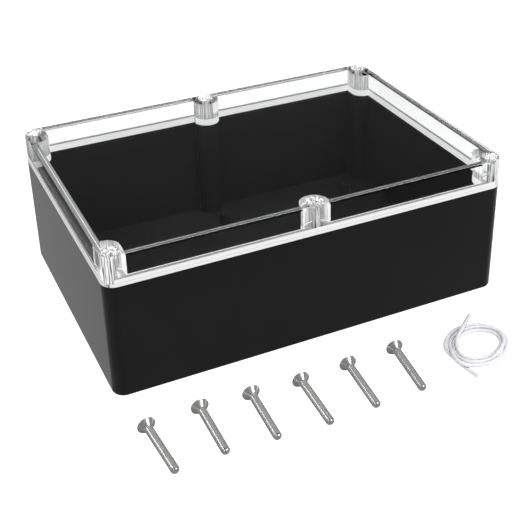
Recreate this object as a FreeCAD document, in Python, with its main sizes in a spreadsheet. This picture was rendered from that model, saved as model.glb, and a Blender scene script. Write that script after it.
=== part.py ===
import FreeCAD, Part
import Sketcher
import math, os

# Plastic project box: a black base, a clear lid that sits on it, six brass inserts
# in the base, and the lid's six screws and its seal cord, which lie in front of it.
# Frame: +Z up, +X along the long side, and the front long side faces -Y.
# The origin is the middle of the base's underside.

doc = FreeCAD.newDocument("ProjectBox")
dims = doc.addObject("Spreadsheet::Sheet", "Dims")

# Driving sizes, in millimetres
SIZES = {
    "box_length": 263.0,
    "box_width": 182.0,
    "corner_radius": 8.0,
    "base_height": 75.5,
    "base_draft_inset": 0.2,
    "bottom_edge_round": 2.0,
    "base_wall": 4.8,
    "floor_thickness": 3.5,
    "lid_height": 19.5,
    "lid_top": 3.0,
    "lid_skirt": 1.8,
    "lid_rim_height": 1.9,
    "lid_rim_step": 0.3,
    "lid_draft_inset": 0.2,
    "lid_edge_round": 0.3,
    "post_reach": 14.6,
    "post_run": 21.0,
    "post_round": 8.0,
    "mid_post_radius": 9.0,
    "hole_inset": 6.4,
    "cord_diameter": 2.5,
    "seal_rib": 1.0,
    "groove_play": 0.1,
    "groove_depth": 4.6,
    "tongue_side_gap": 0.6,
    "seal_squeeze": 0.2,
    "screw_major": 5.0,
    "screw_length": 38.0,
    "screw_head": 10.8,
    "screw_head_land": 0.4,
    "screw_tip_chamfer": 0.7,
    "recess_span": 5.6,
    "recess_slot": 1.3,
    "recess_depth": 2.4,
    "screw_play": 0.6,
    "head_play": 0.2,
    "tip_play": 2.0,
    "insert_outer": 7.0,
    "insert_waist": 6.2,
    "insert_length": 10.0,
    "insert_band": 4.0,
    "insert_bore": 4.2,
    "insert_sink": 0.3,
    "insert_chamfer": 0.5,
    "insert_side_gap": 0.05,
    "mount_hole": 3.6,
    "mount_well": 6.2,
    "mount_floor": 4.5,
    "mount_offset": 7.6,
    "board_span_long": 200.0,
    "board_span_short": 116.0,
    "standoff_outer": 8.0,
    "standoff_height": 8.0,
    "standoff_pilot": 2.9,
    "standoff_pilot_depth": 7.0,
    "screw_row_start": 7.0,
    "screw_row_pitch": 31.7,
    "screw_row_gap": 33.5,
    "coil_inner": 24.8,
    "coil_band": 7.0,
    "coil_height": 4.7,
    "coil_edge_cut": 1.4,
    "coil_centre_across": 81.3,
    "coil_centre_front": -142.8,
}

for row, (alias, value) in enumerate(SIZES.items(), start=1):
    dims.set(f"A{row}", alias)
    dims.set(f"B{row}", str(value))
    dims.setAlias(f"B{row}", alias)
doc.recompute()


def size(alias):
    """the number that a cell of the sheet holds"""
    return float(dims.get(alias))


def value_of(expression):
    """the number that an expression gives now"""
    number = dims.evalExpression(expression)
    return float(getattr(number, "Value", number))


# Sizes that follow from the driving ones
GROOVE_WIDTH = "(Dims.cord_diameter + Dims.groove_play)"
LID_WALL = f"(Dims.lid_skirt + {GROOVE_WIDTH} + Dims.seal_rib)"
TONGUE_HEIGHT = "(Dims.groove_depth - Dims.cord_diameter + Dims.seal_squeeze)"
SCREW_HOLE = "(Dims.screw_major + Dims.screw_play)"
HEAD_HOLE = "(Dims.screw_head + Dims.head_play)"
HOLE_X = "(Dims.box_length / 2 - Dims.hole_inset)"
HOLE_Y = "(Dims.box_width / 2 - Dims.hole_inset)"
HOLE_PLACES = {
    "front_left": (f"-1 * {HOLE_X}", f"-1 * {HOLE_Y}"),
    "front_middle": ("0", f"-1 * {HOLE_Y}"),
    "front_right": (HOLE_X, f"-1 * {HOLE_Y}"),
    "back_left": (f"-1 * {HOLE_X}", HOLE_Y),
    "back_middle": ("0", HOLE_Y),
    "back_right": (HOLE_X, HOLE_Y),
}


# Helpers for bodies, sketches and features

def new_body(name):
    """an empty body whose label names its file"""
    body = doc.addObject("PartDesign::Body", name)
    body.Label = name
    return body


def origin_plane(body, role):
    """one of the body's own planes"""
    return next(item for item in body.Origin.OriginFeatures if item.Role == role)


def new_sketch(body, name, height=None, role="XY_Plane"):
    """a sketch on one of the body's own planes, raised by an expression where one is given"""
    sketch = body.newObject("Sketcher::SketchObject", name)
    sketch.AttachmentSupport = [(origin_plane(body, role), "")]
    sketch.MapMode = "FlatFace"
    if height:
        sketch.setExpression("AttachmentOffset.Base.z", height)
    return sketch


def tie(sketch, kind, geometry, point, expression):
    """hold one coordinate of a point at an expression"""
    number = value_of(expression)
    if abs(number) < 1e-9:
        axis = -2 if kind == "DistanceX" else -1
        sketch.addConstraint(Sketcher.Constraint("PointOnObject", geometry, point, axis))
        return
    index = sketch.addConstraint(Sketcher.Constraint(kind, -1, 1, geometry, point, number))
    sketch.setExpression(f"Constraints[{index}]", expression)


def draw_loop(sketch, corners, arcs=None, clockwise=False):
    """a closed outline of lines, with an arc after each corner that arcs names by its centre"""
    arcs = arcs or {}
    spots = [FreeCAD.Vector(value_of(x), value_of(y), 0) for x, y in corners]
    first = sketch.GeometryCount
    starts = []
    ends = []
    for number, here in enumerate(spots):
        there = spots[(number + 1) % len(spots)]
        if number not in arcs:
            index = sketch.addGeometry(Part.LineSegment(here, there), False)
            starts.append((index, 1))
            ends.append((index, 2))
            continue
        centre = FreeCAD.Vector(*[value_of(place) for place in arcs[number]], 0)
        begin, finish = (there, here) if clockwise else (here, there)
        radius = (here - centre).Length
        angle_begin = math.atan2(begin.y - centre.y, begin.x - centre.x)
        angle_finish = math.atan2(finish.y - centre.y, finish.x - centre.x)
        circle = Part.Circle(centre, FreeCAD.Vector(0, 0, 1), radius)
        index = sketch.addGeometry(Part.ArcOfCircle(circle, angle_begin, angle_finish), False)
        starts.append((index, 2 if clockwise else 1))
        ends.append((index, 1 if clockwise else 2))
    for number in range(len(spots)):
        following = (number + 1) % len(spots)
        sketch.addConstraint(Sketcher.Constraint("Coincident", *ends[number], *starts[following]))
    for number, (x, y) in enumerate(corners):
        tie(sketch, "DistanceX", *starts[number], x)
        tie(sketch, "DistanceY", *starts[number], y)
    for number, (x, y) in arcs.items():
        tie(sketch, "DistanceY", first + number, 3, y)


def draw_circle(sketch, x, y, diameter):
    """a circle whose centre and diameter follow expressions"""
    centre = FreeCAD.Vector(value_of(x), value_of(y), 0)
    radius = value_of(diameter) / 2
    index = sketch.addGeometry(Part.Circle(centre, FreeCAD.Vector(0, 0, 1), radius), False)
    tie(sketch, "DistanceX", index, 3, x)
    tie(sketch, "DistanceY", index, 3, y)
    number = sketch.addConstraint(Sketcher.Constraint("Diameter", index, 2 * radius))
    sketch.setExpression(f"Constraints[{number}]", diameter)


def draw_rounded_rectangle(sketch, half_x, half_y, radius, middle=("0", "0")):
    """a rectangle with rounded corners about a middle point"""
    middle_x, middle_y = middle
    corners = []
    arcs = {}
    for sign_x, sign_y in ((1, -1), (1, 1), (-1, 1), (-1, -1)):
        side_x = f"({middle_x} + {sign_x} * ({half_x}))"
        side_y = f"({middle_y} + {sign_y} * ({half_y}))"
        near_x = f"({middle_x} + {sign_x} * ({half_x} - {radius}))"
        near_y = f"({middle_y} + {sign_y} * ({half_y} - {radius}))"
        pair = [(near_x, side_y), (side_x, near_y)]
        if sign_x == sign_y:
            pair.reverse()
        arcs[len(corners)] = (near_x, near_y)
        corners.extend(pair)
    draw_loop(sketch, corners, arcs)


def draw_well(sketch, grow):
    """the hollow's outline, which runs round the inner side of all six posts, grown outwards"""
    half_x = f"(Dims.box_length / 2 - {LID_WALL} + {grow})"
    half_y = f"(Dims.box_width / 2 - {LID_WALL} + {grow})"
    post_x = f"(Dims.box_length / 2 - Dims.post_reach + {grow})"
    post_y = f"(Dims.box_width / 2 - Dims.post_run + {grow})"
    turn = f"(Dims.post_round - {grow})"
    mid_x = f"(Dims.mid_post_radius - {grow})"
    mid_y = HOLE_Y
    corners = []
    arcs = {}

    def corner_post(sign_x, sign_y, inwards):
        """from the short wall to the long wall, or back where inwards is false"""
        spots = [
            (f"{sign_x} * {half_x}", f"{sign_y} * {post_y}"),
            (f"{sign_x} * ({post_x} + {turn})", f"{sign_y} * {post_y}"),
            (f"{sign_x} * {post_x}", f"{sign_y} * ({post_y} + {turn})"),
            (f"{sign_x} * {post_x}", f"{sign_y} * {half_y}"),
        ]
        if not inwards:
            spots.reverse()
        arcs[len(corners) + 1] = (
            f"{sign_x} * ({post_x} + {turn})",
            f"{sign_y} * ({post_y} + {turn})",
        )
        corners.extend(spots)

    def mid_post(sign):
        """round the post in the middle of a long wall"""
        arcs[len(corners) + 1] = ("0", f"{sign} * {mid_y}")
        corners.extend([
            (f"{sign} * {mid_x}", f"{sign} * {half_y}"),
            (f"{sign} * {mid_x}", f"{sign} * {mid_y}"),
            (f"{-sign} * {mid_x}", f"{sign} * {mid_y}"),
            (f"{-sign} * {mid_x}", f"{sign} * {half_y}"),
        ])

    corner_post(-1, -1, True)
    mid_post(-1)
    corner_post(1, -1, False)
    corner_post(1, 1, True)
    mid_post(1)
    corner_post(-1, 1, False)
    draw_loop(sketch, corners, arcs, clockwise=True)


def pad(body, sketch, length, name, taper=None):
    """material raised from a sketch; a positive taper widens it upwards"""
    feature = body.newObject("PartDesign::Pad", name)
    feature.Profile = sketch
    feature.setExpression("Length", length)
    if taper:
        feature.setExpression("TaperAngle", taper)
    doc.recompute()
    return feature


def pocket(body, sketch, length, name, upwards=False):
    """material cut downwards from a sketch, or upwards; through the whole body with no length"""
    feature = body.newObject("PartDesign::Pocket", name)
    feature.Profile = sketch
    feature.Reversed = upwards
    if length:
        feature.setExpression("Length", length)
    else:
        feature.Type = "ThroughAll"
    before = feature.BaseFeature.Shape.Volume
    doc.recompute()
    if feature.Shape.Volume >= before:
        raise RuntimeError(f"{name} cuts nothing")
    return feature


def revolve(body, sketch, name):
    """a full turn of a sketch about its upright axis"""
    feature = body.newObject("PartDesign::Revolution", name)
    feature.Profile = sketch
    feature.ReferenceAxis = (sketch, ["V_Axis"])
    feature.Angle = 360
    doc.recompute()
    return feature


def edges_at(shape, height):
    """the names of the edges that lie flat at a height"""
    return [
        f"Edge{number}"
        for number, edge in enumerate(shape.Edges, start=1)
        if abs(edge.BoundBox.ZMin - height) < 1e-4 and abs(edge.BoundBox.ZMax - height) < 1e-4
    ]


def round_edges(body, base, names, radius, name):
    """a fillet along the named edges of a feature"""
    feature = body.newObject("PartDesign::Fillet", name)
    feature.Base = (base, names)
    feature.setExpression("Radius", radius)
    doc.recompute()
    return feature


# Base: a drafted shell with a tongue round its mouth, six screw columns, four wells
# for wall screws and six board standoffs on its floor

def make_base():
    body = new_body("base")
    foot = new_sketch(body, "base_foot")
    draw_rounded_rectangle(
        foot,
        "(Dims.box_length / 2 - Dims.base_draft_inset)",
        "(Dims.box_width / 2 - Dims.base_draft_inset)",
        "(Dims.corner_radius - Dims.base_draft_inset)",
    )
    slope = "atan(Dims.base_draft_inset / Dims.base_height)"
    block = pad(body, foot, "Dims.base_height", "base_block", taper=slope)
    round_edges(body, block, edges_at(block.Shape, 0), "Dims.bottom_edge_round", "base_round")

    mouth = new_sketch(body, "base_mouth", "Dims.base_height")
    draw_well(mouth, f"({LID_WALL} - Dims.base_wall)")
    pocket(body, mouth, "Dims.base_height - Dims.floor_thickness", "base_hollow")

    tongue = new_sketch(body, "base_tongue", "Dims.base_height")
    draw_well(tongue, "(Dims.seal_rib + Dims.tongue_side_gap)")
    draw_well(tongue, f"(Dims.seal_rib + {GROOVE_WIDTH} - Dims.tongue_side_gap)")
    pad(body, tongue, TONGUE_HEIGHT, "base_tongue_pad")

    seats = new_sketch(body, "insert_seats", "Dims.base_height")
    for x, y in HOLE_PLACES.values():
        draw_circle(seats, x, y, "(Dims.insert_outer + 2 * Dims.insert_side_gap)")
    pocket(body, seats, "(Dims.insert_length + Dims.insert_sink)", "insert_seat_bores")
    tips = new_sketch(body, "screw_tip_bores", "Dims.base_height")
    for x, y in HOLE_PLACES.values():
        draw_circle(tips, x, y, SCREW_HOLE)
    reach = "(Dims.screw_length - Dims.lid_height + Dims.tip_play)"
    pocket(body, tips, reach, "screw_tip_pockets")

    mount_y = f"({HOLE_Y} - Dims.mount_offset)"
    wells = new_sketch(body, "mount_wells", "Dims.base_height")
    holes = new_sketch(body, "mount_holes", "Dims.base_height")
    for sign_x in (-1, 1):
        for sign_y in (-1, 1):
            draw_circle(wells, f"{sign_x} * {HOLE_X}", f"{sign_y} * {mount_y}", "Dims.mount_well")
            draw_circle(holes, f"{sign_x} * {HOLE_X}", f"{sign_y} * {mount_y}", "Dims.mount_hole")
    pocket(body, wells, "Dims.base_height - Dims.mount_floor", "mount_well_pockets")
    pocket(body, holes, None, "mount_hole_pockets")

    pegs = new_sketch(body, "standoffs", "Dims.floor_thickness")
    pilots = new_sketch(body, "standoff_pilots", "Dims.floor_thickness + Dims.standoff_height")
    for x in ("-1 * Dims.board_span_long / 2", "0", "Dims.board_span_long / 2"):
        for y in ("-1 * Dims.board_span_short / 2", "Dims.board_span_short / 2"):
            draw_circle(pegs, x, y, "Dims.standoff_outer")
            draw_circle(pilots, x, y, "Dims.standoff_pilot")
    pad(body, pegs, "Dims.standoff_height", "standoff_pads")
    pocket(body, pilots, "Dims.standoff_pilot_depth", "standoff_pilot_bores")
    return body


# Lid: clear tray upside down, with full-height screw posts and a seal groove that
# runs round the inner side of the posts

def make_lid():
    body = new_body("lid")
    rim = new_sketch(body, "lid_rim")
    draw_rounded_rectangle(
        rim, "(Dims.box_length / 2)", "(Dims.box_width / 2)", "Dims.corner_radius"
    )
    pad(body, rim, "Dims.lid_rim_height", "lid_rim_pad")
    wall = new_sketch(body, "lid_wall_foot", "Dims.lid_rim_height")
    draw_rounded_rectangle(
        wall,
        "(Dims.box_length / 2 - Dims.lid_rim_step)",
        "(Dims.box_width / 2 - Dims.lid_rim_step)",
        "(Dims.corner_radius - Dims.lid_rim_step)",
    )
    rise = "(Dims.lid_height - Dims.lid_rim_height)"
    slope = f"-1 * atan(Dims.lid_draft_inset / {rise})"
    block = pad(body, wall, rise, "lid_block", taper=slope)
    top_edges = edges_at(block.Shape, size("lid_height"))
    round_edges(body, block, top_edges, "Dims.lid_edge_round", "lid_top_round")

    hollow = new_sketch(body, "lid_hollow")
    draw_well(hollow, "0")
    pocket(body, hollow, "Dims.lid_height - Dims.lid_top", "lid_hollow_pocket", upwards=True)

    groove = new_sketch(body, "seal_groove")
    draw_well(groove, "Dims.seal_rib")
    draw_well(groove, f"(Dims.seal_rib + {GROOVE_WIDTH})")
    pocket(body, groove, "Dims.groove_depth", "seal_groove_pocket", upwards=True)

    bores = new_sketch(body, "lid_bores")
    lands = new_sketch(body, "lid_head_lands", "Dims.lid_height")
    for x, y in HOLE_PLACES.values():
        draw_circle(bores, x, y, SCREW_HOLE)
        draw_circle(lands, x, y, HEAD_HOLE)
    pocket(body, bores, None, "lid_bore_pockets", upwards=True)
    pocket(body, lands, "Dims.screw_head_land", "lid_head_land_pockets")
    wide = f"{HEAD_HOLE} / 2"
    narrow = f"{SCREW_HOLE} / 2"
    for name, (x, y) in HOLE_PLACES.items():
        cone = body.newObject("PartDesign::SubtractiveCone", f"countersink_{name}")
        cone.AttachmentSupport = [(origin_plane(body, "XY_Plane"), "")]
        cone.MapMode = "FlatFace"
        cone.setExpression("Radius1", narrow)
        cone.setExpression("Radius2", wide)
        cone.setExpression("Height", f"{wide} - {narrow}")
        cone.setExpression("AttachmentOffset.Base.x", x)
        cone.setExpression("AttachmentOffset.Base.y", y)
        cone.setExpression(
            "AttachmentOffset.Base.z",
            f"Dims.lid_height - Dims.screw_head_land - ({wide} - {narrow})",
        )
    doc.recompute()
    body.setExpression("Placement.Base.z", "Dims.base_height")
    return body


# Brass inserts, pressed into the columns of the base

def make_insert(name, x, y):
    body = new_body(name)
    profile = new_sketch(body, f"{name}_profile", role="XZ_Plane")
    inner = "(Dims.insert_bore / 2)"
    outer = "(Dims.insert_outer / 2)"
    waist = "(Dims.insert_waist / 2)"
    tall = "Dims.insert_length"
    edge = "Dims.insert_chamfer"
    band = "Dims.insert_band"
    slant = f"({outer} - {waist})"
    draw_loop(profile, [
        (inner, edge),
        (f"({inner} + {edge})", "0"),
        (waist, "0"),
        (outer, slant),
        (outer, band),
        (waist, f"({band} + {slant})"),
        (waist, f"({tall} - {band} - {slant})"),
        (outer, f"({tall} - {band})"),
        (outer, tall),
        (f"({inner} + {edge})", tall),
        (inner, f"({tall} - {edge})"),
    ])
    revolve(body, profile, f"{name}_turning")
    body.setExpression("Placement.Base.x", x)
    body.setExpression("Placement.Base.y", y)
    body.setExpression(
        "Placement.Base.z", "Dims.base_height - Dims.insert_sink - Dims.insert_length"
    )
    return body


# Lid screws: 90 degree countersunk machine screws with a cross recess, lying in a
# row in front of the box. Each has its own small shift along and across the row and
# its own turn in degrees.

SCREW_SHIFTS = (
    (0.0, 0.0, 5.0),
    (0.5, 1.5, 0.5),
    (-0.5, -0.5, -1.0),
    (-1.5, -2.5, 0.0),
    (-1.5, -1.5, -2.5),
    (-0.5, -0.5, -5.0),
)


def lying_placement(number, along, across, turn):
    """the rest of a screw on its side: its head's edge and its tip touch the surface"""
    row_start = size("screw_row_start") - size("box_length") / 2
    head_x = row_start + number * size("screw_row_pitch") + along
    head_y = across - size("screw_row_gap") - size("box_width") / 2
    head_radius = size("screw_head") / 2
    shank_radius = size("screw_major") / 2
    length = size("screw_length")
    between = length - size("screw_head_land") - size("screw_tip_chamfer")
    tilt = math.atan2(head_radius - shank_radius, between)
    yaw = math.radians(turn)
    axis = FreeCAD.Vector(
        -math.sin(yaw) * math.cos(tilt), math.cos(yaw) * math.cos(tilt), math.sin(tilt)
    )
    tip_height = shank_radius * math.cos(tilt) - size("screw_tip_chamfer") * math.sin(tilt)
    head = FreeCAD.Vector(head_x, head_y, tip_height + length * math.sin(tilt))
    lean = FreeCAD.Rotation(FreeCAD.Vector(1, 0, 0), math.degrees(tilt) - 90)
    swing = FreeCAD.Rotation(FreeCAD.Vector(0, 0, 1), turn)
    return FreeCAD.Placement(head - axis * length, swing.multiply(lean))


def make_screw(name, number, shifts):
    body = new_body(name)
    profile = new_sketch(body, f"{name}_profile", role="XZ_Plane")
    shank = "(Dims.screw_major / 2)"
    head = "(Dims.screw_head / 2)"
    tall = "Dims.screw_length"
    chamfer = "Dims.screw_tip_chamfer"
    land = "Dims.screw_head_land"
    draw_loop(profile, [
        ("0", "0"),
        (f"({shank} - {chamfer})", "0"),
        (shank, chamfer),
        (shank, f"({tall} - {land} - {head} + {shank})"),
        (head, f"({tall} - {land})"),
        (head, tall),
        ("0", tall),
    ])
    revolve(body, profile, f"{name}_turning")
    recess = new_sketch(body, f"{name}_recess", "Dims.screw_length")
    far = "(Dims.recess_span / 2)"
    near = "(Dims.recess_slot / 2)"
    draw_loop(recess, [
        (far, f"-1 * {near}"),
        (far, near),
        (near, near),
        (near, far),
        (f"-1 * {near}", far),
        (f"-1 * {near}", near),
        (f"-1 * {far}", near),
        (f"-1 * {far}", f"-1 * {near}"),
        (f"-1 * {near}", f"-1 * {near}"),
        (f"-1 * {near}", f"-1 * {far}"),
        (near, f"-1 * {far}"),
        (near, f"-1 * {near}"),
    ])
    pocket(body, recess, "Dims.recess_depth", f"{name}_recess_cut")
    body.Placement = lying_placement(number, *shifts)
    return body


# Seal cord: the coil as one closed ring, with its two free ends as plain tubes

def make_coil():
    body = new_body("seal_coil")
    profile = new_sketch(body, "coil_profile", role="XZ_Plane")
    inner = "(Dims.coil_inner / 2)"
    outer = "(Dims.coil_inner / 2 + Dims.coil_band)"
    tall = "Dims.coil_height"
    cut = "Dims.coil_edge_cut"
    draw_loop(profile, [
        (f"({inner} + {cut})", "0"),
        (f"({outer} - {cut})", "0"),
        (outer, cut),
        (outer, f"({tall} - {cut})"),
        (f"({outer} - {cut})", tall),
        (f"({inner} + {cut})", tall),
        (inner, f"({tall} - {cut})"),
        (inner, cut),
    ])
    revolve(body, profile, "coil_ring")
    body.setExpression("Placement.Base.x", "Dims.coil_centre_across")
    body.setExpression("Placement.Base.y", "Dims.coil_centre_front")
    return body


CORD_ENDS = {
    "seal_end_back": ((84.5, -126.5, 2.4), (96.0, -114.0, 1.4)),
    "seal_end_front": ((66.5, -150.5, 2.4), (65.0, -166.5, 1.4)),
}


def make_cord_end(name, coil, start, tip):
    """a straight free end, from inside the coil to its tip, cut off at the coil's surface"""
    run = FreeCAD.Vector(*tip) - FreeCAD.Vector(*start)
    rod = doc.addObject("Part::Cylinder", f"{name}_rod")
    rod.setExpression("Radius", "Dims.cord_diameter / 2")
    rod.Height = run.Length
    turn = FreeCAD.Rotation(FreeCAD.Vector(0, 0, 1), run)
    rod.Placement = FreeCAD.Placement(FreeCAD.Vector(*start), turn)
    end = doc.addObject("Part::Cut", name)
    end.Label = name
    end.Base = rod
    end.Tool = coil
    doc.recompute()
    return end


base = make_base()
lid = make_lid()
inserts = [make_insert(f"insert_{name}", x, y) for name, (x, y) in HOLE_PLACES.items()]
screws = [
    make_screw(f"lid_screw_{number + 1}", number, shifts)
    for number, shifts in enumerate(SCREW_SHIFTS)
]
coil = make_coil()
ends = [make_cord_end(name, coil, *points) for name, points in CORD_ENDS.items()]
doc.recompute()

sub_parts = [base, lid, *inserts, *screws, coil, *ends]
faults = [item.Name for item in doc.Objects if {"Invalid", "Error"} & set(item.State)]
for item in sub_parts:
    if item.Shape.isNull() or not item.Shape.isValid() or len(item.Shape.Solids) != 1:
        faults.append(item.Label)
if faults:
    raise RuntimeError("faulty objects: " + ", ".join(faults))

os.makedirs("parts", exist_ok=True)
for item in sub_parts:
    item.Shape.exportStep(f"parts/{item.Label}.step")
    print(item.Label, round(item.Shape.Volume, 1))
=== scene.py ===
"""A black project box with a clear lid. Its six lid screws and its coiled seal cord lie in front of it.

Lengths are in millimetres, as they would be measured, and MM turns them to metres. The studio's places and
sizes and the cord's length are in metres.
"""

import math

import bmesh
import bpy
from mathutils import Matrix, Vector


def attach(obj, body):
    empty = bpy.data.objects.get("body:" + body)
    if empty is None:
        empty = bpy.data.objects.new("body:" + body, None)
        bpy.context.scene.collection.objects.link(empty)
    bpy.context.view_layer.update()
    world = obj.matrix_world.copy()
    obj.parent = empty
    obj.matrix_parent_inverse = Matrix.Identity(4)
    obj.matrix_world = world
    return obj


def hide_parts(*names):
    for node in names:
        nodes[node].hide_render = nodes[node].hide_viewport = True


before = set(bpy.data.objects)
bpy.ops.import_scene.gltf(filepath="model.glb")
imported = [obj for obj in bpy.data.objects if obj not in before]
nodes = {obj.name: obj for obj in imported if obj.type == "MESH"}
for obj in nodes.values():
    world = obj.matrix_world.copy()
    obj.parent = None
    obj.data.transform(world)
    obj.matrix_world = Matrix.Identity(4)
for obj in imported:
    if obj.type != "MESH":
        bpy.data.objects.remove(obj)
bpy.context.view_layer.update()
bpy.ops.object.select_all(action="DESELECT")

MM = 0.001
# vertices nearer than this are merged, and edges that turn by less than this are shaded smooth
WELD = 0.002
SMOOTH_BELOW = math.radians(24)

# The box's driving sizes, as in the part's source
BOX_LENGTH = 263.0
BOX_WIDTH = 182.0
LID_FOOT = 75.5
LID_WALL = 5.4
GROOVE_DEPTH = 4.6
HOLE_INSET = 6.4


# The photograph's camera, fitted to the edges of the box. The picture was cut from a larger one, so the
# lens's axis meets it above its middle row.

IMAGE_SIDE = 522
FOCAL_PIXELS = 1041.4
AXIS_ROW = 160
CAMERA_TARGET = (4.437, 0.0, 82.369)
CAMERA_DISTANCE = 685.4
CAMERA_AZIMUTH = -24.179
CAMERA_ELEVATION = 26.877
CAMERA_ROLL = -1.39
SENSOR_WIDTH = 36
NEAR_CLIP = 0.01
FAR_CLIP = 50


def add_object(name, data):
    added = bpy.data.objects.new(name, data)
    bpy.context.scene.collection.objects.link(added)
    return added


def add_camera():
    azimuth = math.radians(CAMERA_AZIMUTH)
    elevation = math.radians(CAMERA_ELEVATION)
    roll = math.radians(CAMERA_ROLL)
    right = Vector((math.cos(azimuth), math.sin(azimuth), 0))
    back = Vector((
        math.sin(azimuth) * math.cos(elevation),
        -math.cos(azimuth) * math.cos(elevation),
        math.sin(elevation),
    ))
    up = back.cross(right)
    rolled_right = right * math.cos(roll) + up * math.sin(roll)
    rolled_up = up * math.cos(roll) - right * math.sin(roll)
    place = (Vector(CAMERA_TARGET) + back * CAMERA_DISTANCE) * MM
    turn = Matrix((rolled_right, rolled_up, back)).transposed().to_4x4()
    lens = bpy.data.cameras.new("camera")
    lens.sensor_width = SENSOR_WIDTH
    lens.lens = FOCAL_PIXELS / IMAGE_SIDE * lens.sensor_width
    lens.shift_y = (AXIS_ROW - IMAGE_SIDE / 2) / IMAGE_SIDE
    lens.clip_start = NEAR_CLIP
    lens.clip_end = FAR_CLIP
    camera = add_object("camera", lens)
    camera.matrix_world = Matrix.Translation(place) @ turn
    bpy.context.scene.camera = camera


# Materials

def linear(code):
    """an sRGB hex colour as the shader's own linear numbers"""
    parts = [int(code[i:i + 2], 16) / 255 for i in (1, 3, 5)]
    return (*(p / 12.92 if p <= 0.04045 else ((p + 0.055) / 1.055) ** 2.4 for p in parts), 1.0)


def new_material(name):
    material = bpy.data.materials.new(name)
    material.use_nodes = True
    return material, material.node_tree


def add_node(tree, kind, settings=None, inputs=None, links=None, stops=()):
    """one node, with its settings, its sockets' values, what they are linked from, and its ramp's stops"""
    node = tree.nodes.new(kind)
    for key, value in (settings or {}).items():
        setattr(node, key, value)
    for key, value in (inputs or {}).items():
        node.inputs[key].default_value = value
    for key, source in (links or {}).items():
        tree.links.new(source, node.inputs[key])
    for number, (position, colour) in enumerate(stops):
        node.color_ramp.elements[number].position = position
        node.color_ramp.elements[number].color = colour
    return node


def shader_of(tree):
    return tree.nodes["Principled BSDF"]


def set_shader(tree, values):
    for key, value in values.items():
        shader_of(tree).inputs[key].default_value = value


def link_shader(tree, links):
    for key, source in links.items():
        tree.links.new(source, shader_of(tree).inputs[key])


def make_black_abs():
    """Moulded black ABS with a fine spark-eroded grain: deep black, satin, and paler only at a low glance."""
    material, tree = new_material("moulded_black_abs")
    place = add_node(tree, "ShaderNodeTexCoord").outputs["Object"]
    grain_size = 0.5 * MM  # about 0.05 mm in real life, drawn coarse so that it shows
    grain = add_node(
        tree, "ShaderNodeTexNoise",
        inputs={"Scale": 1 / grain_size, "Detail": 2.0, "Roughness": 0.6}, links={"Vector": place},
    )
    cloud_size = 40 * MM
    cloud = add_node(
        tree, "ShaderNodeTexNoise", inputs={"Scale": 1 / cloud_size, "Detail": 3.0}, links={"Vector": place}
    )
    colour = add_node(
        tree, "ShaderNodeValToRGB", links={"Fac": cloud.outputs["Fac"]},
        stops=((0.3, linear("#0f0f10")), (0.7, linear("#111112"))),
    )
    roughness = add_node(
        tree, "ShaderNodeMapRange", inputs={"To Min": 0.40, "To Max": 0.52},
        links={"Value": grain.outputs["Fac"]},
    )
    bump = add_node(
        tree, "ShaderNodeBump", inputs={"Strength": 0.25, "Distance": 0.02 * MM},
        links={"Height": grain.outputs["Fac"]},
    )
    set_shader(tree, {
        "IOR": 1.54, "Specular IOR Level": 0.10, "Sheen Weight": 0.36, "Sheen Roughness": 0.35,
    })
    link_shader(tree, {
        "Base Color": colour.outputs["Color"],
        "Roughness": roughness.outputs["Result"],
        "Normal": bump.outputs["Normal"],
    })
    return material


def make_matt_abs():
    """The same ABS inside the base, where the tool was left coarse: black without any sheen, and painted a
    paler black than the outside as painted light in the dim hollow.
    """
    material, tree = new_material("unpolished_black_abs_painted_light")
    place = add_node(tree, "ShaderNodeTexCoord").outputs["Object"]
    cloud_size = 25 * MM
    cloud = add_node(
        tree, "ShaderNodeTexNoise", inputs={"Scale": 1 / cloud_size, "Detail": 3.0}, links={"Vector": place}
    )
    # painted light: this black is paler than the outside's, so that the hollow does not fall to full black
    colour = add_node(
        tree, "ShaderNodeValToRGB", links={"Fac": cloud.outputs["Fac"]},
        stops=((0.3, linear("#2a2a2a")), (0.7, linear("#2b2b2b"))),
    )
    roughness = add_node(
        tree, "ShaderNodeMapRange", inputs={"To Min": 0.90, "To Max": 1.0},
        links={"Value": cloud.outputs["Fac"]},
    )
    set_shader(tree, {"IOR": 1.54, "Specular IOR Level": 0.05})
    link_shader(tree, {
        "Base Color": colour.outputs["Color"],
        "Roughness": roughness.outputs["Result"],
    })
    return material


def make_clear_polycarbonate():
    """Clear polycarbonate, mirror polished: a hard gloss, and bright edges where it bends the light.

    Its mirror tint is held back, so that the pale studio lays no veil on its faces.
    """
    material, tree = new_material("moulded_clear_polycarbonate")
    place = add_node(tree, "ShaderNodeTexCoord").outputs["Object"]
    flow_size = 18 * MM
    flow = add_node(
        tree, "ShaderNodeTexNoise", inputs={"Scale": 1 / flow_size, "Detail": 1.0}, links={"Vector": place}
    )
    roughness = add_node(
        tree, "ShaderNodeMapRange", inputs={"To Min": 0.0, "To Max": 0.012},
        links={"Value": flow.outputs["Fac"]},
    )
    bump = add_node(
        tree, "ShaderNodeBump", inputs={"Strength": 0.02, "Distance": 0.1 * MM},
        links={"Height": flow.outputs["Fac"]},
    )
    set_shader(tree, {
        "Base Color": linear("#fcfdfd"),
        "IOR": 1.585,
        "Transmission Weight": 1.0,
        "Specular Tint": (0.3, 0.3, 0.3, 1.0),
    })
    link_shader(tree, {
        "Roughness": roughness.outputs["Result"],
        "Normal": bump.outputs["Normal"],
    })
    return material


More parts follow.
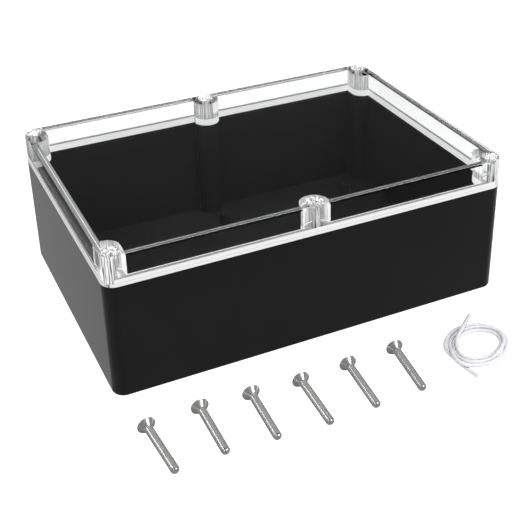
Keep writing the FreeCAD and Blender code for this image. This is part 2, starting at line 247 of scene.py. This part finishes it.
def make_matt_polycarbonate(name, colour, painted_glow):
    """The same plastic left unpolished: white, as its grit scatters the light that the lid gathers.

    A render ends that light early, after a few bounces inside the lid, and its painted glow gives a little of
    it back. Each copy's grey and glow are painted shade and painted light on the one plastic.
    """
    material, tree = new_material(name)
    place = add_node(tree, "ShaderNodeTexCoord").outputs["Object"]
    grit_size = 0.3 * MM  # about 0.03 mm in real life, drawn coarse so that it shows
    grit = add_node(
        tree, "ShaderNodeTexNoise", inputs={"Scale": 1 / grit_size, "Detail": 2.0}, links={"Vector": place}
    )
    roughness = add_node(
        tree, "ShaderNodeMapRange", inputs={"To Min": 0.5, "To Max": 0.7},
        links={"Value": grit.outputs["Fac"]},
    )
    # the white emission is a painted glow: this plastic is no lamp
    set_shader(tree, {
        "Base Color": linear(colour),
        "IOR": 1.585,
        "Transmission Weight": 0.3,
        "Emission Color": linear("#ffffff"),
        "Emission Strength": painted_glow,
    })
    link_shader(tree, {"Roughness": roughness.outputs["Result"]})
    return material


def make_drawn_and_painted_polycarbonate(name, painted_shade_streak, clear, transmission, painted_glow):
    """The same plastic where the tool's steel was drawn out of it along Z, which left fine upright lines.

    Its glow is a painted glow, for the same reason as the unpolished plastic's. The lines' greys are partly
    those tool marks and partly painted shade, and the pale between them glows as painted light.
    """
    material, tree = new_material(name)
    place = add_node(tree, "ShaderNodeTexCoord").outputs["Object"]
    stretch = add_node(
        tree, "ShaderNodeMapping", inputs={"Scale": (1.0, 1.0, 0.05)}, links={"Vector": place}
    )
    line_width = 0.9 * MM  # about 0.1 mm in real life, drawn coarse so that it shows
    lines = add_node(
        tree, "ShaderNodeTexNoise", inputs={"Scale": 1 / line_width, "Detail": 2.0},
        links={"Vector": stretch.outputs["Vector"]},
    )
    # the grey lines are partly tool marks and partly painted shade, and the same ramp feeds the emission as a
    # painted glow
    colour = add_node(
        tree, "ShaderNodeValToRGB", links={"Fac": lines.outputs["Fac"]},
        stops=((0.38, linear(painted_shade_streak)), (0.56, linear(clear))),
    )
    roughness = add_node(
        tree, "ShaderNodeMapRange", inputs={"To Min": 0.1, "To Max": 0.35},
        links={"Value": lines.outputs["Fac"]},
    )
    set_shader(tree, {
        "IOR": 1.585,
        "Transmission Weight": transmission,
        "Emission Strength": painted_glow,
    })
    link_shader(tree, {
        "Base Color": colour.outputs["Color"],
        "Emission Color": colour.outputs["Color"],
        "Roughness": roughness.outputs["Result"],
    })
    return material


def make_nickelled_brass():
    """Turned brass with bright nickel on it: pale grey metal with rings from the tool."""
    material, tree = new_material("nickel_plated_brass")
    place = add_node(tree, "ShaderNodeTexCoord").outputs["Object"]
    ring_pitch = math.tau / 4 * MM  # about 0.1 mm in real life, drawn coarse so that it shows
    waves_in_unit = 20 / math.tau  # how many waves the wave texture has in one unit at scale 1
    rings = add_node(
        tree, "ShaderNodeTexWave", {"bands_direction": "Z"},
        inputs={"Scale": 1 / (ring_pitch * waves_in_unit), "Distortion": 0.6, "Detail": 1.0},
        links={"Vector": place},
    )
    colour = add_node(
        tree, "ShaderNodeValToRGB", links={"Fac": rings.outputs["Fac"]},
        stops=((0.2, linear("#a8a39a")), (0.8, linear("#c9c4ba"))),
    )
    roughness = add_node(
        tree, "ShaderNodeMapRange", inputs={"To Min": 0.22, "To Max": 0.36},
        links={"Value": rings.outputs["Fac"]},
    )
    set_shader(tree, {"Metallic": 1.0})
    link_shader(tree, {
        "Base Color": colour.outputs["Color"],
        "Roughness": roughness.outputs["Result"],
    })
    return material


def make_screw_steel():
    """Zinc-plated steel, cold headed and thread rolled: its passivated skin is pale grey and partly matt."""
    material, tree = new_material("zinc_plated_steel")
    place = add_node(tree, "ShaderNodeTexCoord").outputs["Object"]
    scuff_size = 0.7 * MM
    scuffs = add_node(
        tree, "ShaderNodeTexNoise",
        inputs={"Scale": 1 / scuff_size, "Detail": 4.0, "Roughness": 0.65}, links={"Vector": place},
    )
    colour = add_node(
        tree, "ShaderNodeValToRGB", links={"Fac": scuffs.outputs["Fac"]},
        stops=((0.3, linear("#c6c6c5")), (0.7, linear("#dbdbda"))),
    )
    roughness = add_node(
        tree, "ShaderNodeMapRange", inputs={"To Min": 0.14, "To Max": 0.26},
        links={"Value": scuffs.outputs["Fac"]},
    )
    bump = add_node(
        tree, "ShaderNodeBump", inputs={"Strength": 0.1, "Distance": 0.02 * MM},
        links={"Height": scuffs.outputs["Fac"]},
    )
    set_shader(tree, {"Metallic": 0.82})
    link_shader(tree, {
        "Base Color": colour.outputs["Color"],
        "Roughness": roughness.outputs["Result"],
        "Normal": bump.outputs["Normal"],
    })
    return material


def make_silicone():
    """Extruded translucent silicone: milky white, greyer at its edges, with a slightly waxy gloss."""
    material, tree = new_material("extruded_white_silicone")
    place = add_node(tree, "ShaderNodeTexCoord").outputs["Object"]
    mottle_size = 3 * MM
    mottle = add_node(
        tree, "ShaderNodeTexNoise", inputs={"Scale": 1 / mottle_size, "Detail": 2.0}, links={"Vector": place}
    )
    colour = add_node(
        tree, "ShaderNodeValToRGB", links={"Fac": mottle.outputs["Fac"]},
        stops=((0.3, linear("#bfbfc5")), (0.7, linear("#cacacf"))),
    )
    roughness = add_node(
        tree, "ShaderNodeMapRange", inputs={"To Min": 0.34, "To Max": 0.46},
        links={"Value": mottle.outputs["Fac"]},
    )
    set_shader(tree, {
        "IOR": 1.41,
        "Subsurface Weight": 0.35,
        "Subsurface Scale": 0.6 * MM,
        "Subsurface Radius": (1.0, 1.0, 1.05),
    })
    link_shader(tree, {
        "Base Color": colour.outputs["Color"],
        "Roughness": roughness.outputs["Result"],
    })
    return material


# the sweep and the studio are dim in a plain mirror image, so that no veil of them lies on the clear lid
MIRRORED = 0.05
FLOOR_BRIGHTNESS = 1.3
STUDIO_BRIGHTNESS = 0.8


def brightness(tree, full):
    """full, but MIRRORED for light that came by a single mirror bounce"""
    bounces = add_node(tree, "ShaderNodeLightPath").outputs["Glossy Depth"]
    once = add_node(
        tree, "ShaderNodeMath", {"operation": "COMPARE"}, inputs={1: 1.0, 2: 0.5}, links={0: bounces}
    )
    strength = add_node(
        tree, "ShaderNodeMapRange", inputs={"To Min": full, "To Max": MIRRORED},
        links={"Value": once.outputs["Value"]},
    )
    return strength.outputs["Result"]


def make_white_sweep():
    """Matt white studio sweep, lit through from below, so that nothing on it throws a hard shadow."""
    material, tree = new_material("lit_white_sweep")
    set_shader(tree, {
        "Base Color": linear("#404040"),
        "Roughness": 0.9,
        "Specular IOR Level": 0.0,
        "Emission Color": linear("#ffffff"),
    })
    link_shader(tree, {"Emission Strength": brightness(tree, FLOOR_BRIGHTNESS)})
    return material


def dress(piece, material):
    """every slot of the piece gets the material"""
    if not piece.data.materials:
        piece.data.materials.append(material)
    for slot in piece.material_slots:
        slot.material = material


# Modelling helpers

def pick(piece):
    """the piece alone is selected, and is the active one"""
    bpy.ops.object.select_all(action="DESELECT")
    piece.select_set(True)
    bpy.context.view_layer.objects.active = piece


def name_piece(name):
    """the primitive that was just added, named"""
    piece = bpy.context.object
    piece.name = name
    piece.data.name = name
    return piece


def settle(piece):
    """the piece's place goes into its mesh, so that its object is at the origin"""
    pick(piece)
    bpy.ops.object.transform_apply(location=True, rotation=True, scale=True)


def apply_modifier(piece, kind, **settings):
    bpy.context.view_layer.objects.active = piece
    modifier = piece.modifiers.new(kind.lower(), kind)
    for key, value in settings.items():
        setattr(modifier, key, value)
    bpy.ops.object.modifier_apply(modifier=modifier.name)


def combine(piece, other, operation):
    apply_modifier(piece, "BOOLEAN", object=other, operation=operation, solver="EXACT")
    bpy.data.objects.remove(other)


# Lid screws: M5 countersunk, 38 mm long, thread rolled up to the head

SCREW_LENGTH = 38.0
SCREW_RADIUS = 2.5
HEAD_RADIUS = 5.4
HEAD_LAND = 0.4
TIP_CHAMFER = 0.7
THREAD_PITCH = 0.8
THREAD_DEPTH = 0.49
THREAD_START = 0.5
THREAD_STEPS = 32
# the shares of the pitch at which the root ends and the crest starts and ends
ROOT_END = 0.17
CREST_START = 0.52
CREST_END = 0.65
SPARE_TURNS = 3
CORE_RADIUS = SCREW_RADIUS - THREAD_DEPTH + 0.05  # a little over the thread's root, so that the two overlap
CONE_FOOT = SCREW_LENGTH - HEAD_LAND - (HEAD_RADIUS - SCREW_RADIUS)
# the rounded tip, as steps of (distance inside the core's radius, height)
TIP_ROUNDING = ((0.60, 0.0), (0.36, 0.08), (0.12, 0.32), (0.0, 0.70))
NECK_SINK = 0.12
NECK_FILLET = 0.25
HEAD_EDGE = 0.10
HEAD_STEPS = 64
BLANK_STEPS = 48
BLANK_FOOT = 0.2
RECESS_SPAN = 5.6
RECESS_SLOT = 1.3
RECESS_DEPTH = 2.4
RECESS_TAPER = 0.55
RECESS_OPEN = 0.5
RECESS_TURN = 37
SCREW_ROW_START = 7.0 - BOX_LENGTH / 2
SCREW_ROW_PITCH = 31.7
SCREW_ROW_FRONT = -BOX_WIDTH / 2 - 33.5
# how far each screw lies off its place in the row, along and across it, and how far it is turned
SCREW_SHIFTS = (
    (0.0, 0.0, 5.0),
    (0.5, 1.5, 0.5),
    (-0.5, -0.5, -1.0),
    (-1.5, -2.5, 0.0),
    (-1.5, -1.5, -2.5),
    (-0.5, -0.5, -5.0),
)


def draw_line(name, points):
    """a line of edges through (radius, height) points, drawn by extruding, and left in edit mode"""
    bpy.ops.mesh.primitive_plane_add(size=1, location=(0, 0, 0))
    piece = name_piece(name)
    bpy.ops.object.mode_set(mode="EDIT")
    bpy.ops.mesh.merge(type="CENTER")
    radius, height = points[0]
    bpy.ops.transform.translate(value=(radius * MM, 0, height * MM))
    for (radius, height), (next_radius, next_height) in zip(points, points[1:]):
        bpy.ops.mesh.extrude_region_move(
            TRANSFORM_OT_translate={
                "value": ((next_radius - radius) * MM, 0, (next_height - height) * MM)
            }
        )
    return piece


def turn_piece(name, half_section, steps):
    """a closed turned piece: its half section's line, spun round Z"""
    piece = draw_line(name, half_section)
    bpy.ops.mesh.select_all(action="SELECT")
    bpy.ops.mesh.spin(steps=steps, angle=math.tau, center=(0, 0, 0), axis=(0, 0, 1))
    bpy.ops.mesh.select_all(action="SELECT")
    bpy.ops.mesh.remove_doubles(threshold=WELD * MM)
    bpy.ops.mesh.normals_make_consistent(inside=False)
    bpy.ops.object.mode_set(mode="OBJECT")
    return piece


def make_thread(name, low, high):
    """the rolled thread between two heights, as one screw surface cut flat at both ends"""
    root = SCREW_RADIUS - THREAD_DEPTH
    rise = (
        (root, 0.0),
        (root, ROOT_END * THREAD_PITCH),
        (SCREW_RADIUS, CREST_START * THREAD_PITCH),
        (SCREW_RADIUS, CREST_END * THREAD_PITCH),
    )
    turns = math.ceil((high - low) / THREAD_PITCH) + SPARE_TURNS
    start = low - SPARE_TURNS / 2 * THREAD_PITCH
    piece = draw_line(name, [
        (radius, start + turn * THREAD_PITCH + height) for turn in range(turns) for radius, height in rise
    ])
    bpy.ops.object.mode_set(mode="OBJECT")
    apply_modifier(
        piece, "SCREW", axis="Z", angle=math.tau, screw_offset=THREAD_PITCH * MM,
        steps=THREAD_STEPS, render_steps=THREAD_STEPS, iterations=1, use_smooth_shade=False,
    )
    bpy.ops.object.mode_set(mode="EDIT")
    bpy.ops.mesh.select_all(action="SELECT")
    bpy.ops.mesh.remove_doubles(threshold=WELD * MM)
    for height, side in ((low, -1), (high, 1)):
        bpy.ops.mesh.select_all(action="SELECT")
        bpy.ops.mesh.bisect(
            plane_co=(0, 0, height * MM), plane_no=(0, 0, side), use_fill=True, clear_outer=True
        )
    bpy.ops.mesh.select_all(action="SELECT")
    bpy.ops.mesh.normals_make_consistent(inside=False)
    bpy.ops.object.mode_set(mode="OBJECT")
    return piece


def make_recess_cutter():
    """a cross recess: a square core with a wing drawn out of each side, tapering to its foot"""
    bpy.ops.mesh.primitive_cube_add(size=1, location=(0, 0, 0))
    cutter = name_piece("recess_cutter")
    top = SCREW_LENGTH + RECESS_OPEN
    bottom = SCREW_LENGTH - RECESS_DEPTH
    cutter.scale = (RECESS_SLOT * MM, RECESS_SLOT * MM, (top - bottom) * MM)
    cutter.location = (0, 0, (top + bottom) / 2 * MM)
    settle(cutter)
    wing = (RECESS_SPAN - RECESS_SLOT) / 2
    bpy.ops.object.mode_set(mode="EDIT")
    for direction in ((1, 0, 0), (-1, 0, 0), (0, 1, 0), (0, -1, 0)):
        bpy.ops.mesh.select_all(action="DESELECT")
        mesh = bmesh.from_edit_mesh(cutter.data)
        for face in mesh.faces:
            face.select_set(face.normal.dot(Vector(direction)) > 0.9)
        bmesh.update_edit_mesh(cutter.data)
        bpy.ops.mesh.extrude_region_move(
            TRANSFORM_OT_translate={"value": tuple(wing * MM * step for step in direction)}
        )
    mesh = bmesh.from_edit_mesh(cutter.data)
    middle = (top + bottom) / 2
    for vertex in mesh.verts:
        vertex.select_set(vertex.co.z < middle * MM)
    mesh.select_flush_mode()
    bmesh.update_edit_mesh(cutter.data)
    bpy.ops.transform.resize(
        value=(RECESS_TAPER, RECESS_TAPER, 1), center_override=(0, 0, bottom * MM)
    )
    bpy.ops.object.mode_set(mode="OBJECT")
    return cutter


def make_screw_model():
    """one screw standing on its tip at the origin

    Its thread is cut to the blank's outline, joined to the turned core and head, and then the recess is cut.
    """
    land_foot = SCREW_LENGTH - HEAD_LAND
    screw = turn_piece("screw_model", (
        (0.0, 0.0),
        *((CORE_RADIUS - inside, height) for inside, height in TIP_ROUNDING),
        (CORE_RADIUS, CONE_FOOT - 1.2),
        (SCREW_RADIUS - NECK_SINK, CONE_FOOT - 1.0),
        (SCREW_RADIUS - NECK_SINK, CONE_FOOT - NECK_FILLET),
        (SCREW_RADIUS + NECK_FILLET, CONE_FOOT + NECK_FILLET),
        (HEAD_RADIUS - 0.08, land_foot - 0.08),
        (HEAD_RADIUS, land_foot + 0.04),
        (HEAD_RADIUS, SCREW_LENGTH - HEAD_EDGE),
        (HEAD_RADIUS - HEAD_EDGE, SCREW_LENGTH),
        (0.0, SCREW_LENGTH),
    ), HEAD_STEPS)
    thread = make_thread("thread", THREAD_START, CONE_FOOT - THREAD_PITCH)
    blank_radius = SCREW_RADIUS + 0.05
    blank = turn_piece("blank", (
        (0.0, BLANK_FOOT),
        (CORE_RADIUS, BLANK_FOOT),
        (CORE_RADIUS, THREAD_START),
        (blank_radius, THREAD_START + TIP_CHAMFER),
        (blank_radius, CONE_FOOT),
        (0.0, CONE_FOOT),
    ), BLANK_STEPS)
    combine(thread, blank, "INTERSECT")
    combine(screw, thread, "UNION")
    combine(screw, make_recess_cutter(), "DIFFERENCE")
    pick(screw)
    bpy.ops.object.shade_smooth_by_angle(angle=SMOOTH_BELOW)
    return screw


def resting_place(number, along, across, turn):
    """a screw on its side, with its head's edge and its tip on the floor"""
    head_x = SCREW_ROW_START + number * SCREW_ROW_PITCH + along
    head_y = SCREW_ROW_FRONT + across
    between = SCREW_LENGTH - HEAD_LAND - TIP_CHAMFER
    tilt = math.atan2(HEAD_RADIUS - SCREW_RADIUS, between)
    yaw = math.radians(turn)
    axis = Vector((-math.sin(yaw) * math.cos(tilt), math.cos(yaw) * math.cos(tilt), math.sin(tilt)))
    tip_height = SCREW_RADIUS * math.cos(tilt) - TIP_CHAMFER * math.sin(tilt)
    head = Vector((head_x, head_y, tip_height + SCREW_LENGTH * math.sin(tilt)))
    lean = Matrix.Rotation(tilt - math.pi / 2, 4, "X")
    swing = Matrix.Rotation(yaw, 4, "Z")
    return Matrix.Translation((head - axis * SCREW_LENGTH) * MM) @ swing @ lean


def make_screws(material):
    model = make_screw_model()
    for number, shifts in enumerate(SCREW_SHIFTS):
        piece = add_object(f"threaded_screw_{number + 1}", model.data.copy())
        spin = Matrix.Rotation(math.radians(RECESS_TURN * number), 4, "Z")
        piece.data.transform(resting_place(number, *shifts) @ spin)
        dress(piece, material)
        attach(piece, "root")
        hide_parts(f"lid_screw_{number + 1}")
    bpy.data.objects.remove(model)


# Mouldings: the lid and the base, each with its edges broken and its finishes told apart

EDGE_BREAK = 0.25
EDGE_SEGMENTS = 2
BREAK_ABOVE = math.radians(40)
FLAT_WITHIN = math.radians(0.5)


def copy_moulding(node_name, name, cuts):
    """the node's solid as one merged mesh of large faces, cut level at the given heights, with soft edges"""
    piece = add_object(name, nodes[node_name].data.copy())
    pick(piece)
    bpy.ops.object.mode_set(mode="EDIT")
    bpy.ops.mesh.customdata_custom_splitnormals_clear()
    bpy.ops.mesh.select_all(action="SELECT")
    bpy.ops.mesh.remove_doubles(threshold=WELD * MM)
    bpy.ops.mesh.dissolve_limited(angle_limit=FLAT_WITHIN)
    bpy.ops.object.mode_set(mode="OBJECT")
    apply_modifier(
        piece, "BEVEL", width=EDGE_BREAK * MM, segments=EDGE_SEGMENTS, limit_method="ANGLE",
        angle_limit=BREAK_ABOVE, miter_outer="MITER_SHARP", use_clamp_overlap=True,
    )
    bpy.ops.object.mode_set(mode="EDIT")
    for height in cuts:
        bpy.ops.mesh.select_all(action="SELECT")
        bpy.ops.mesh.bisect(plane_co=(0, 0, height * MM), plane_no=(0, 0, 1))
    bpy.ops.object.mode_set(mode="OBJECT")
    bpy.ops.object.shade_smooth_by_angle(angle=SMOOTH_BELOW)
    apply_modifier(piece, "WEIGHTED_NORMAL", keep_sharp=True)
    return piece


def finish_moulding(piece, node_name, finishes, finish_of):
    """each face gets the one of the finishes whose number finish_of gives"""
    piece.data.materials.clear()
    for material in finishes:
        piece.data.materials.append(material)
    for face in piece.data.polygons:
        face.material_index = finish_of(face, piece.data)
    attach(piece, "root")
    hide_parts(node_name)


GROOVE_TOP = LID_FOOT + GROOVE_DEPTH
HOLE_RADIUS = 5.8
POST_REACH = 17.0
HOLE_ACROSS = (HOLE_INSET - BOX_LENGTH / 2, 0.0, BOX_LENGTH / 2 - HOLE_INSET)
HOLE_ALONG = (HOLE_INSET - BOX_WIDTH / 2, BOX_WIDTH / 2 - HOLE_INSET)
OUTSIDE_BAND = 1.0
WALL_PLAY = 0.3
LEVEL_PLAY = 0.05
UPRIGHT_BELOW = 0.9
POLISHED, SEAL_GROOVE, SCREW_HOLE, POST, RIM_INSIDE, RIM_OUTSIDE = range(6)


def in_hollow_wall(x, y):
    """whether the place is on the hollow's side of the seal groove"""
    reach = WALL_PLAY - LID_WALL
    return abs(x) < BOX_LENGTH / 2 + reach and abs(y) < BOX_WIDTH / 2 + reach


def lid_finish(face, mesh):
    """the lid is polished, apart from its rim, its seal groove, its screw holes and its posts"""
    top = max(mesh.vertices[i].co.z for i in face.vertices) / MM
    x, y = face.center.x / MM, face.center.y / MM
    from_hole = min(
        math.hypot(x - hole_x, y - hole_y) for hole_x in HOLE_ACROSS for hole_y in HOLE_ALONG
    )
    upright = abs(face.normal.z) < UPRIGHT_BELOW
    on_outside = max(abs(x) - BOX_LENGTH / 2, abs(y) - BOX_WIDTH / 2) > -OUTSIDE_BAND
    if from_hole < HOLE_RADIUS and upright:
        return SCREW_HOLE
    if top < GROOVE_TOP + LEVEL_PLAY:
        if on_outside and upright:
            return RIM_OUTSIDE
        looks_inwards = face.normal.x * x + face.normal.y * y < 0
        return RIM_INSIDE if looks_inwards and upright and in_hollow_wall(x, y) else SEAL_GROOVE
    return POST if from_hole < POST_REACH and upright and not on_outside else POLISHED


def make_lid(*finishes):
    piece = copy_moulding("lid", "moulded_lid", (GROOVE_TOP,))
    finish_moulding(piece, "lid", finishes, lid_finish)


# the inside gets the black that is painted paler, as painted light in the hollow
OUTSIDE, INSIDE = range(2)


def base_finish(face, mesh):
    """the inside is below the mouth and looks towards a point over the middle of the floor"""
    towards = Vector((0, 0, LID_FOOT * MM)) - face.center
    below_mouth = face.center.z < (LID_FOOT - WALL_PLAY) * MM
    return INSIDE if below_mouth and face.normal.dot(towards) > 0 else OUTSIDE


def make_base(*finishes):
    piece = copy_moulding("base", "moulded_base", ())
    finish_moulding(piece, "base", finishes, base_finish)


# Seal cord: one length of 2.5 mm silicone cord in a loose oval coil

CORD_DIAMETER = 2.5
# points given along the two bare ends: from the back tip into the coil, and from it to the front tip
CORD_BACK_END = (
    (96.2, -113.6, 1.25),
    (92.4, -116.5, 1.5),
    (87.4, -121.6, 3.9),
    (82.8, -125.3, 4.2),
    (78.9, -128.4, 4.2),
    (75.5, -131, 4.1),
    (72.3, -134.4, 3.9),
)
CORD_FRONT_END = (
    (62.9, -143.4, 1.25),
    (62.8, -149, 1.25),
    (63.5, -154, 1.25),
    (64.6, -160.1, 1.25),
    (65.5, -166, 1.25),
)
# how far round the cord has come in degrees, how far outside the innermost turn it lies, and its height
COIL_LAY = (
    (150, -0.2, 3.5),
    (172, -0.2, 2.9),
    (190, 0.2, 2),
    (212, 0.4, 1.25),
    (250, 0, 1.25),
    (400, 0, 1.25),
    (463, 1.5, 1.25),
    (526, 1.5, 1.25),
    (561, 3.1, 1.25),
    (590, 3.2, 1.25),
    (632, 2.8, 1.25),
    (656, 2, 2.8),
    (678, 1.8, 3.1),
    (716, 1.8, 3.1),
    (745, 2, 2.9),
    (770, 2.3, 2.6),
    (790, 3.4, 1.7),
    (808, 4.2, 1.25),
    (826, 4.6, 1.25),
    (845, 4.4, 1.25),
    (862, 4.1, 1.25),
    (882, 3.9, 2.2),
    (898, 4.6, 4),
    (918, 7.2, 4.15),
    (932, 9.8, 4.05),
    (943, 10.6, 4.05),
    (954, 9, 3.6),
    (968, 6.6, 1.8),
    (982, 5.5, 1.25),
    (1012, 4.9, 1.25),
    (1036, 3.7, 1.25),
    (1090, 3.7, 1.25),
    (1122, 4.7, 1.25),
    (1150, 6.2, 1.25),
    (1184, 7.5, 1.25),
    (1200, 7.1, 1.25),
    (1217, 6.9, 1.25),
    (1246, 6.6, 1.25),
)
COIL_STEP = 15.0
COIL_CENTRE = (83.79, -141.08)
COIL_HALF_LONG = 16.1
COIL_HALF_SHORT = 11.63
COIL_TILT = math.radians(19.78)
CONTROL_REACH = 1.0086  # control points lie a little outside the curve that they draw


def coil_point(angle):
    """the control point of the coil at that angle, eased between the rows of its lay"""
    for (low_angle, low_out, low_height), (high_angle, high_out, high_height) in zip(COIL_LAY, COIL_LAY[1:]):
        if angle <= high_angle:
            share = (angle - low_angle) / (high_angle - low_angle)
            share = share * share * (3 - 2 * share)
            out = low_out + (high_out - low_out) * share
            height = low_height + (high_height - low_height) * share
            break
    turned = math.radians(angle) - COIL_TILT
    along = (COIL_HALF_LONG + out) * CONTROL_REACH * math.cos(turned)
    across = (COIL_HALF_SHORT + out) * CONTROL_REACH * math.sin(turned)
    return (
        COIL_CENTRE[0] + along * math.cos(COIL_TILT) - across * math.sin(COIL_TILT),
        COIL_CENTRE[1] + along * math.sin(COIL_TILT) + across * math.cos(COIL_TILT),
        height,
    )


def make_seal_cord(material):
    first, last = COIL_LAY[0][0], COIL_LAY[-1][0]
    steps = int((last - first) / COIL_STEP)
    coil = [coil_point(first + step * COIL_STEP) for step in range(steps + 1)]
    points = [*CORD_BACK_END, *coil, *CORD_FRONT_END]
    line = bpy.data.curves.new("seal_cord", "CURVE")
    line.dimensions = "3D"
    line.bevel_depth = CORD_DIAMETER / 2 * MM
    line.bevel_resolution = 5
    line.resolution_u = 6
    line.use_fill_caps = True
    spline = line.splines.new("NURBS")
    spline.points.add(len(points) - 1)
    for control, (x, y, z) in zip(spline.points, points):
        control.co = (x * MM, y * MM, z * MM, 1)
    spline.order_u = 3
    spline.use_endpoint_u = True
    spline.use_smooth = True
    cord = add_object("seal_cord", line)
    dress(cord, material)
    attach(cord, "root")
    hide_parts("seal_coil", "seal_end_back", "seal_end_front")


# Floor and light, in metres and watts

FLOOR_SIDE = 16
FLOOR_HEIGHT = -0.0002
# each softbox's name, place, target, width, height and power
SOFTBOXES = (
    ("top_softbox", (0.15, -0.55, 1.5), (0, 0, 0), 0.9, 0.7, 12),
    ("left_softbox", (-1.2, 0.2, 0.9), (-0.13, 0, 0.05), 0.6, 0.6, 8),
    ("front_softbox", (0.7, -1.3, 0.9), (0, -0.12, 0), 0.7, 0.7, 14),
)


def make_floor(material):
    bpy.ops.mesh.primitive_plane_add(size=FLOOR_SIDE, location=(0, 0, FLOOR_HEIGHT))
    floor = name_piece("floor")
    settle(floor)
    dress(floor, material)


def add_softbox(name, place, target, width, height, watts):
    light = bpy.data.lights.new(name, "AREA")
    light.shape = "RECTANGLE"
    light.size = width
    light.size_y = height
    light.energy = watts
    lamp = add_object(name, light)
    lamp.location = place
    lamp.rotation_euler = (Vector(target) - Vector(place)).to_track_quat("-Z", "Y").to_euler()


def light_studio():
    world = bpy.data.worlds.new("studio")
    world.use_nodes = True
    tree = world.node_tree
    background = tree.nodes["Background"]
    background.inputs["Color"].default_value = linear("#ffffff")
    tree.links.new(brightness(tree, STUDIO_BRIGHTNESS), background.inputs["Strength"])
    bpy.context.scene.world = world
    for softbox in SOFTBOXES:
        add_softbox(*softbox)
    bpy.context.scene.view_settings.view_transform = "Standard"


add_camera()
make_seal_cord(make_silicone())
make_base(make_black_abs(), make_matt_abs())
# the lid's finishes, in the order from POLISHED to RIM_OUTSIDE. The groove's grey and the holes' dark lines
# are painted shade, and every glow is painted light
make_lid(
    make_clear_polycarbonate(),
    make_matt_polycarbonate("unpolished_clear_polycarbonate_groove_painted_shade", "#bcbcbc", 0.04),
    # the holes' dark grey lines are painted shade in the bores, and the holes and the posts both glow as
    # painted light
    make_drawn_and_painted_polycarbonate("drawn_clear_polycarbonate_holes_painted_shade", "#505050", "#f4f4f4", 0.55, 0.22),
    make_drawn_and_painted_polycarbonate("drawn_clear_polycarbonate_posts_painted_glow", "#b8b8b8", "#f8f8f8", 0.75, 0.26),
    make_matt_polycarbonate("unpolished_clear_polycarbonate_rim_inside_painted_glow", "#f8f8f8", 0.55),
    make_matt_polycarbonate("unpolished_clear_polycarbonate_rim_outside", "#e4e4e4", 0.0),
)
brass = make_nickelled_brass()
for node_name in nodes:
    if node_name.startswith("insert"):
        dress(nodes[node_name], brass)
make_screws(make_screw_steel())
make_floor(make_white_sweep())
light_studio()
